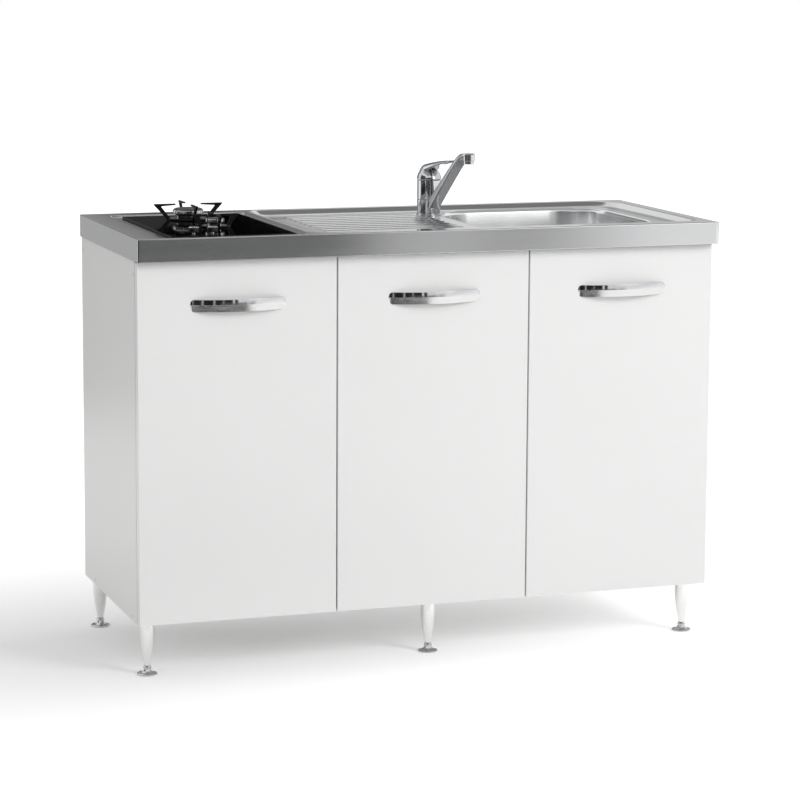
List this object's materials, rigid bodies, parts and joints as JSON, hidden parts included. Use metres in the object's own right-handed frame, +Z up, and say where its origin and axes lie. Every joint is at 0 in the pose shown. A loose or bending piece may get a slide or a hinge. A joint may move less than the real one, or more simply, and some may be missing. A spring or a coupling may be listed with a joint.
{
  "type": "kitchenette unit with sink and hob",
  "caption": "Low kitchenette unit: white hinged doors on short metal legs, pressed steel worktop with drainer, sink bowl and lever tap, and an inset gas hob with knobs.",
  "frame": {"origin": "on the floor under the middle of the unit's bounding box", "axes": "+X to the right as seen from the front, +Y to the back, +Z up"},
  "size_m": [1.2, 0.5, 0.993],
  "materials": {
    "white_board": "chipboard faced with smooth white melamine, satin",
    "backing_board": "thin hardboard, white inside",
    "worktop_steel": "pressed stainless steel, fine satin",
    "bright_steel": "polished stainless steel",
    "tap_chrome": "polished chrome plate",
    "handle_metal": "satin nickel with a polished upper facet",
    "leg_metal": "satin metal tube",
    "plated_steel": "zinc plated",
    "hob_black": "black toughened glass, gloss",
    "enamel_black": "black matt enamel",
    "burner_alloy": "cast, dull",
    "crown_alloy": "cast and machined",
    "tray_steel": "thin coated sheet",
    "ceramic": "white ceramic",
    "brass": "turned, dull",
    "white_plastic": "moulded polypropylene",
    "grey_plastic": "moulded cartridge housing",
    "black_rubber": "soft seal",
    "knob_metal": "bright top, darker skirt"
  },
  "bodies": {
    "cabinet": {"side_panel_left": "white_board", "side_panel_right": "white_board", "divider_panel": "white_board", "bottom_panel": "white_board", "back_panel": "backing_board", "front_rails": "white_board", "back_rails": "white_board", "shelf": "white_board", "shelf_pins": "plated_steel", "panel_screws": "plated_steel", "leg_bushes": "plated_steel", "legs": "leg_metal", "worktop": "worktop_steel", "worktop_edge": "worktop_steel", "sink_bowl": "worktop_steel", "waste_flange": "bright_steel", "waste_seal": "black_rubber", "waste_body": "white_plastic", "trap_body": "white_plastic", "trap_cup": "white_plastic", "trap_nuts": "white_plastic", "outlet_pipe": "white_plastic", "hob_glass": "hob_black", "hob_tray": "tray_steel", "burner_bodies": "burner_alloy", "burner_crowns": "crown_alloy", "burner_caps": "enamel_black", "igniters": "ceramic", "gas_taps": "brass", "gas_pipes": "plated_steel", "tap_body": "tap_chrome", "tap_cartridge": "grey_plastic", "tap_fixing": "brass", "hinge_arms": "plated_steel", "hinge_plates": "plated_steel"},
    "basket": {"basket_strainer": "bright_steel"},
    "support_large": {"pan_support_large": "enamel_black"},
    "support_small": {"pan_support_small": "enamel_black"},
    "spindle_l": {"spindle_left": "plated_steel"},
    "spindle_r": {"spindle_right": "plated_steel"},
    "knob_l": {"knob_left": "knob_metal"},
    "knob_r": {"knob_right": "knob_metal"},
    "spout": {"tap_spout": "tap_chrome"},
    "stem": {"tap_stem": "tap_chrome"},
    "lever": {"tap_lever": "tap_chrome"},
    "foot_front_left_body": {"foot_front_left": "bright_steel"},
    "foot_front_middle_body": {"foot_front_middle": "bright_steel"},
    "foot_front_right_body": {"foot_front_right": "bright_steel"},
    "foot_back_left_body": {"foot_back_left": "bright_steel"},
    "foot_back_middle_body": {"foot_back_middle": "bright_steel"},
    "foot_back_right_body": {"foot_back_right": "bright_steel"},
    "door_left_body": {"door_left": "white_board", "handle_left": "handle_metal", "hinge_cups_left": "plated_steel"},
    "door_middle_body": {"door_middle": "white_board", "handle_middle": "handle_metal", "hinge_cups_middle": "plated_steel"},
    "door_right_body": {"door_right": "white_board", "handle_right": "handle_metal", "hinge_cups_right": "plated_steel"}
  },
  "joints": [
    {"name": "door_left_hinge", "type": "hinge", "parent": "cabinet", "child": "door_left_body", "pos_m": [-0.5895, -0.2205, 0.461], "axis": [0, 0, -1], "range_deg": [0, 95]},
    {"name": "door_middle_hinge", "type": "hinge", "parent": "cabinet", "child": "door_middle_body", "pos_m": [-0.1905, -0.2205, 0.461], "axis": [0, 0, -1], "range_deg": [0, 95]},
    {"name": "door_right_hinge", "type": "hinge", "parent": "cabinet", "child": "door_right_body", "pos_m": [0.5895, -0.2205, 0.461], "axis": [0, 0, 1], "range_deg": [0, 95]},
    {"name": "spout_swivel", "type": "hinge", "parent": "cabinet", "child": "spout", "pos_m": [0.118, 0.14, 0.87], "axis": [0, 0, 1], "range_deg": [-80, 68]},
    {"name": "lever_turn", "type": "hinge", "parent": "cabinet", "child": "stem", "pos_m": [0.118, 0.14, 0.9255], "axis": [0, 0, 1], "range_deg": [-50, 50]},
    {"name": "lever_lift", "type": "hinge", "parent": "stem", "child": "lever", "pos_m": [0.118, 0.14, 0.9255], "axis": [-0.9976, -0.0698, 0], "range_deg": [0, 22]},
    {"name": "knob_left_turn", "type": "hinge", "parent": "cabinet", "child": "spindle_l", "pos_m": [-0.475, -0.186, 0.86], "axis": [0, 0, 1], "range_deg": [0, 180]},
    {"name": "knob_left_push", "type": "slide", "parent": "spindle_l", "child": "knob_l", "axis": [0, 0, -1], "range_m": [0, 0.003], "stiffness_N_per_m": 600, "springref_m": -0.001},
    {"name": "knob_right_turn", "type": "hinge", "parent": "cabinet", "child": "spindle_r", "pos_m": [-0.438, -0.186, 0.86], "axis": [0, 0, 1], "range_deg": [0, 180]},
    {"name": "knob_right_push", "type": "slide", "parent": "spindle_r", "child": "knob_r", "axis": [0, 0, -1], "range_m": [0, 0.003], "stiffness_N_per_m": 600, "springref_m": -0.001},
    {"name": "strainer_lift", "type": "slide", "parent": "cabinet", "child": "basket", "axis": [0, 0, 1], "range_m": [0, 0.1]},
    {"name": "support_large_lift", "type": "slide", "parent": "cabinet", "child": "support_large", "axis": [0, 0, 1], "range_m": [0, 0.08]},
    {"name": "support_small_lift", "type": "slide", "parent": "cabinet", "child": "support_small", "axis": [0, 0, 1], "range_m": [0, 0.08]},
    {"name": "foot_front_left_level", "type": "slide", "parent": "cabinet", "child": "foot_front_left_body", "axis": [0, 0, -1], "range_m": [0, 0.015]},
    {"name": "foot_front_middle_level", "type": "slide", "parent": "cabinet", "child": "foot_front_middle_body", "axis": [0, 0, -1], "range_m": [0, 0.015]},
    {"name": "foot_front_right_level", "type": "slide", "parent": "cabinet", "child": "foot_front_right_body", "axis": [0, 0, -1], "range_m": [0, 0.015]},
    {"name": "foot_back_left_level", "type": "slide", "parent": "cabinet", "child": "foot_back_left_body", "axis": [0, 0, -1], "range_m": [0, 0.015]},
    {"name": "foot_back_middle_level", "type": "slide", "parent": "cabinet", "child": "foot_back_middle_body", "axis": [0, 0, -1], "range_m": [0, 0.015]},
    {"name": "foot_back_right_level", "type": "slide", "parent": "cabinet", "child": "foot_back_right_body", "axis": [0, 0, -1], "range_m": [0, 0.015]}
  ]
}
